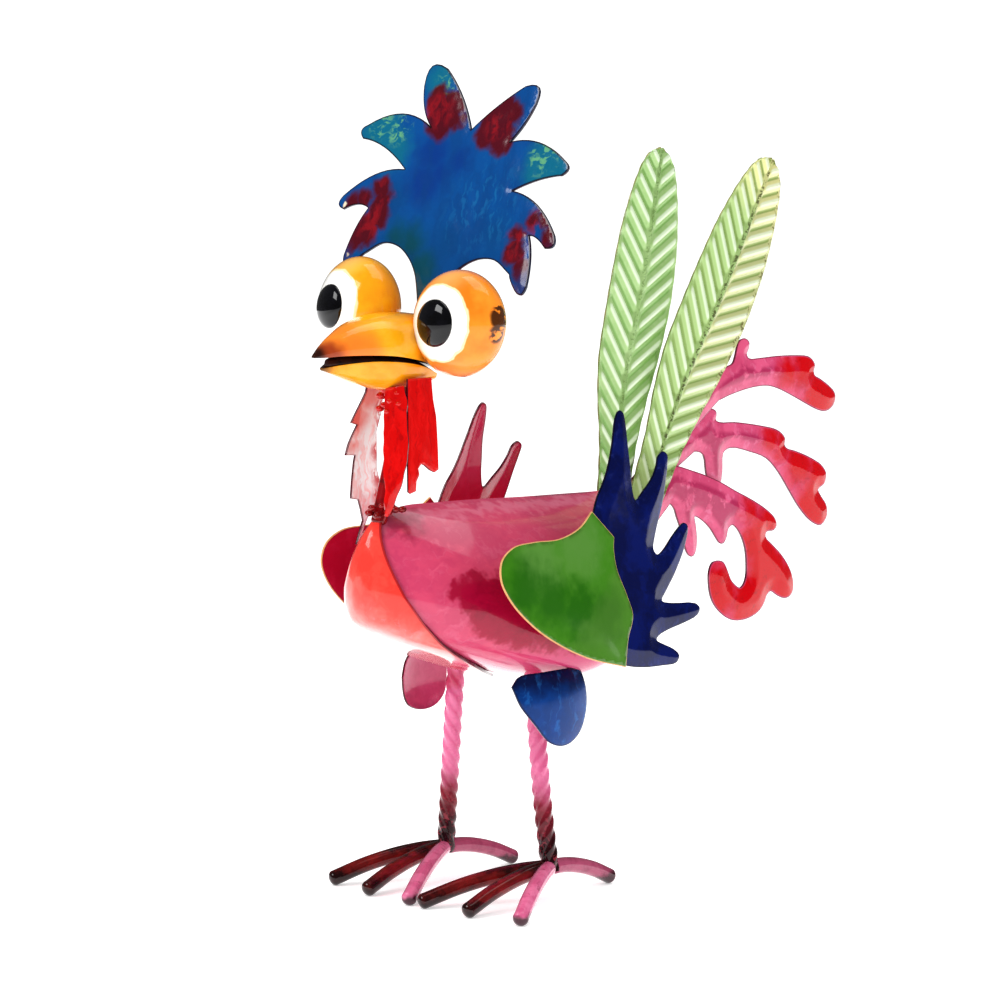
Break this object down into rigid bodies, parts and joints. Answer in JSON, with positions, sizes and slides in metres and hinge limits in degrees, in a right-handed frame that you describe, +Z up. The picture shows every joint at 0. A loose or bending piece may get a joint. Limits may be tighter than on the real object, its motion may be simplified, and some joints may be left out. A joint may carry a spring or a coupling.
{
  "type": "rooster statuette",
  "caption": "Standing rooster statuette of cut, creased and welded sheet metal, lacquered in bright colours.",
  "frame": {"origin": "on the floor, below the middle of the object's box", "axes": "+Z up, -Y the way the bird faces, +X the bird's left"},
  "size_m": [0.1504, 0.4068, 0.4199],
  "materials": {
    "pink": "gloss",
    "coral": "gloss",
    "red": "gloss",
    "pale": "gloss",
    "gold": "gloss",
    "black": "gloss",
    "blue": "gloss",
    "green": "gloss",
    "navy": "gloss",
    "leaf": "gloss",
    "maroon": "gloss"
  },
  "bodies": {
    "root": {"body": "pink", "breast_plate": "coral", "neck_rod": "maroon", "hackle_left": "red", "hackle_right": "pale", "hackle_front": "red", "beak_upper": "gold", "beak_lower": "gold", "crest": "blue", "eye_ball_left": "gold", "pupil_left": "black", "wing_plate_left": "green", "wing_feathers_left": "navy", "thigh_left": "blue", "leg_left": "pink", "toe_left_inner": "maroon", "toe_left_middle": "maroon", "toe_left_outer": "maroon", "toe_left_back": "maroon", "eye_ball_right": "gold", "pupil_right": "black", "wing_plate_right": "green", "wing_feathers_right": "navy", "thigh_right": "pink", "leg_right": "pink", "toe_right_inner": "maroon", "toe_right_middle": "maroon", "toe_right_outer": "maroon", "toe_right_back": "maroon", "plume_front": "leaf", "plume_rear": "leaf", "tail_curl_upper": "pink", "tail_curl_middle": "pink", "tail_curl_lower": "pink"}
  },
  "joints": []
}
